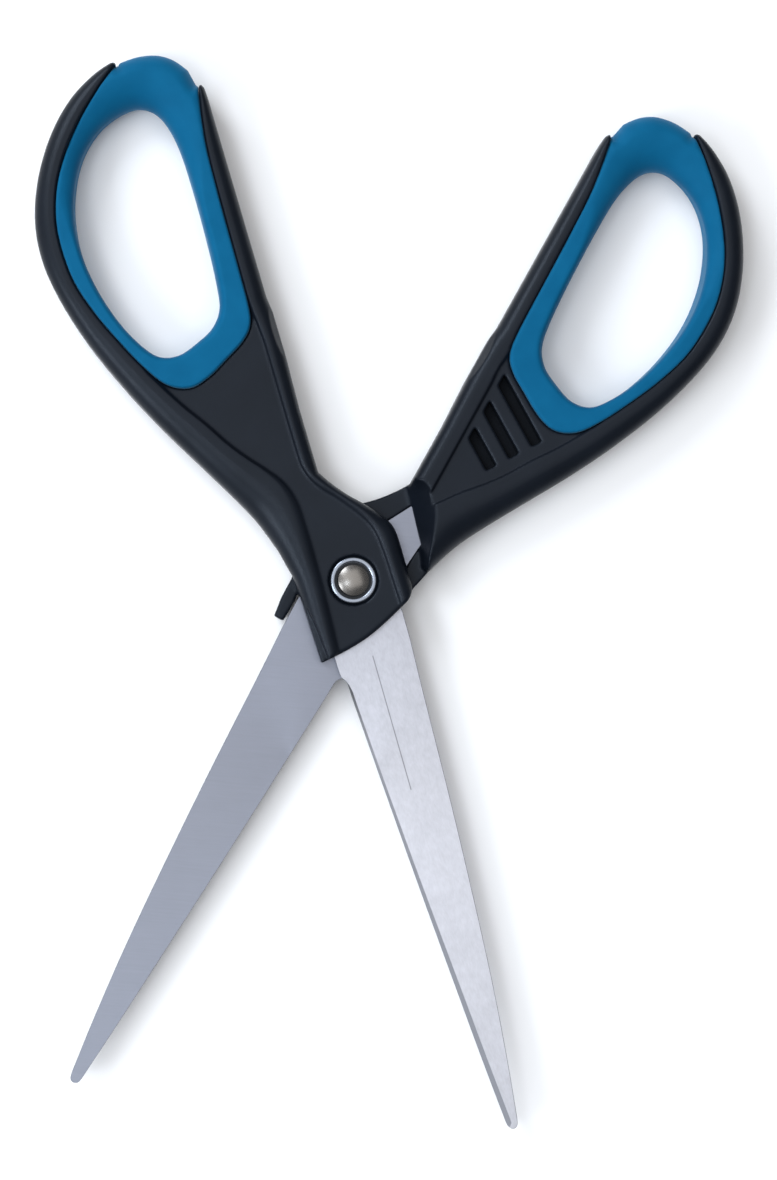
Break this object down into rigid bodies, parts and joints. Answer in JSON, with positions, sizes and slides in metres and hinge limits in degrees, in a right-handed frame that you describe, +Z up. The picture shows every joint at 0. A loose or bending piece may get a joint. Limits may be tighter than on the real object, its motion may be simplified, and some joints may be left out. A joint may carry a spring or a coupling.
{
  "type": "office scissors",
  "caption": "Straight office scissors with riveted steel blades, hard moulded handles and soft-lined finger loops, stored part open on a pivot hinge.",
  "frame": {"origin": "on the pivot axis at the resting plane, the flat end of the rivet's tail", "axes": "+Z up along the pivot axis towards the front blade, +Y from the pivot to the handles along the line halfway between the open levers, +X to the back lever's handle"},
  "size_m": [0.1316, 0.1893, 0.0104],
  "materials": {
    "front_blade_steel": "brushed along the blade",
    "back_blade_steel": "ground across the blade",
    "hard_black": "satin with a fine texture",
    "soft_blue": "satin soft touch",
    "rivet_steel": "satin, slightly warm",
    "washer_steel": "bright"
  },
  "bodies": {
    "front_lever": {"front_blade": "front_blade_steel", "front_handle": "hard_black", "front_grip": "soft_blue", "front_cup_washer": "washer_steel", "pivot_rivet": "rivet_steel"},
    "back_lever": {"back_blade": "back_blade_steel", "back_handle": "hard_black", "back_grip": "soft_blue", "back_cup_washer": "washer_steel"}
  },
  "joints": [
    {"name": "blade_pivot", "type": "hinge", "parent": "front_lever", "child": "back_lever", "pos_m": [0, 0, 0.0052], "axis": [0, 0, 1], "range_deg": [-39.4, 45.6]}
  ]
}
